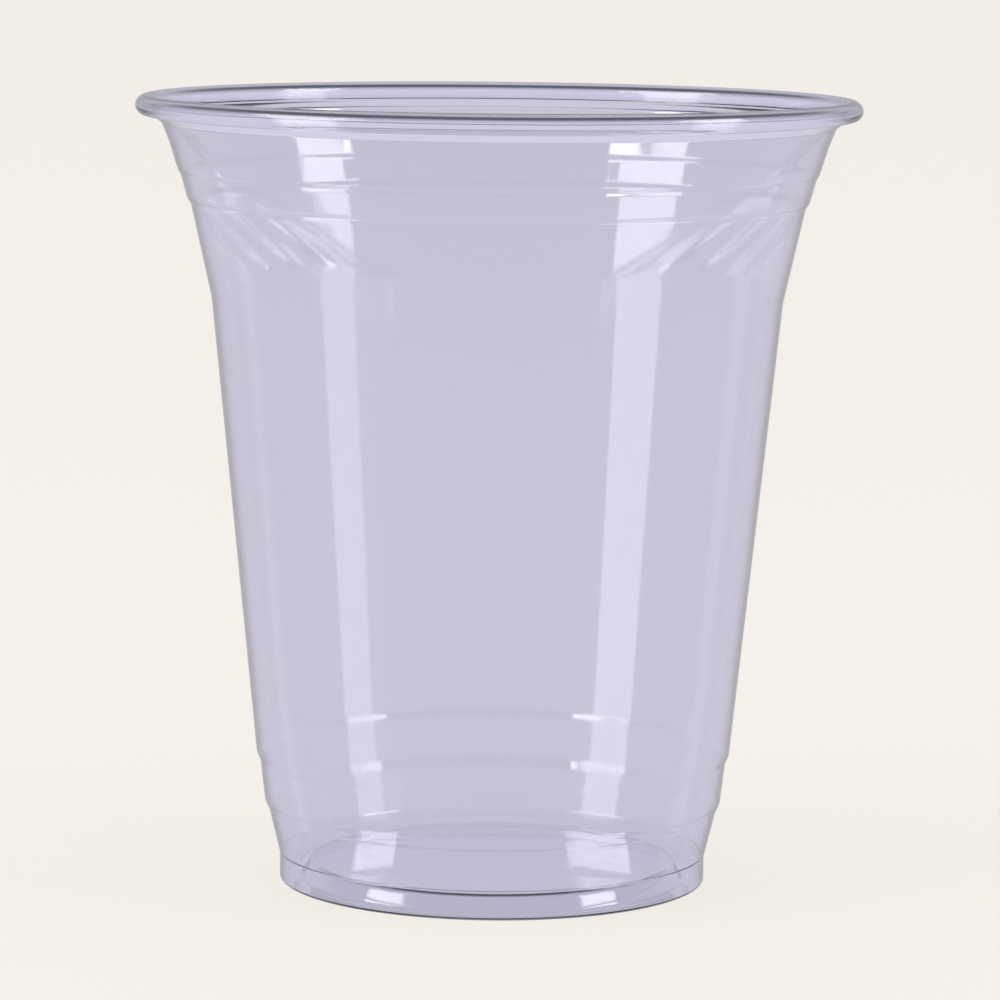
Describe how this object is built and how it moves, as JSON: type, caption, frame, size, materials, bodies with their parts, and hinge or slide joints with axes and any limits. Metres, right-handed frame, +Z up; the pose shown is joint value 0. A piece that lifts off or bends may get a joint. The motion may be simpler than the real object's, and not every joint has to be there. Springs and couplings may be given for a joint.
{
  "type": "plastic cup",
  "caption": "Clear tapered cold-drink cup with a rolled rim, stepped lid zone, slanted stacking ribs and a raised floor.",
  "frame": {"origin": "on the table, under the middle of the foot", "axes": "+Z up along the cup's axis, -Y towards the plain near wall, +Y towards the wall with the two groups of ribs"},
  "size_m": [0.098, 0.098, 0.107],
  "materials": {
    "clear_plastic": "clear, glossy, with a faint lavender tint"
  },
  "bodies": {
    "root": {"cup": "clear_plastic"}
  },
  "joints": []
}
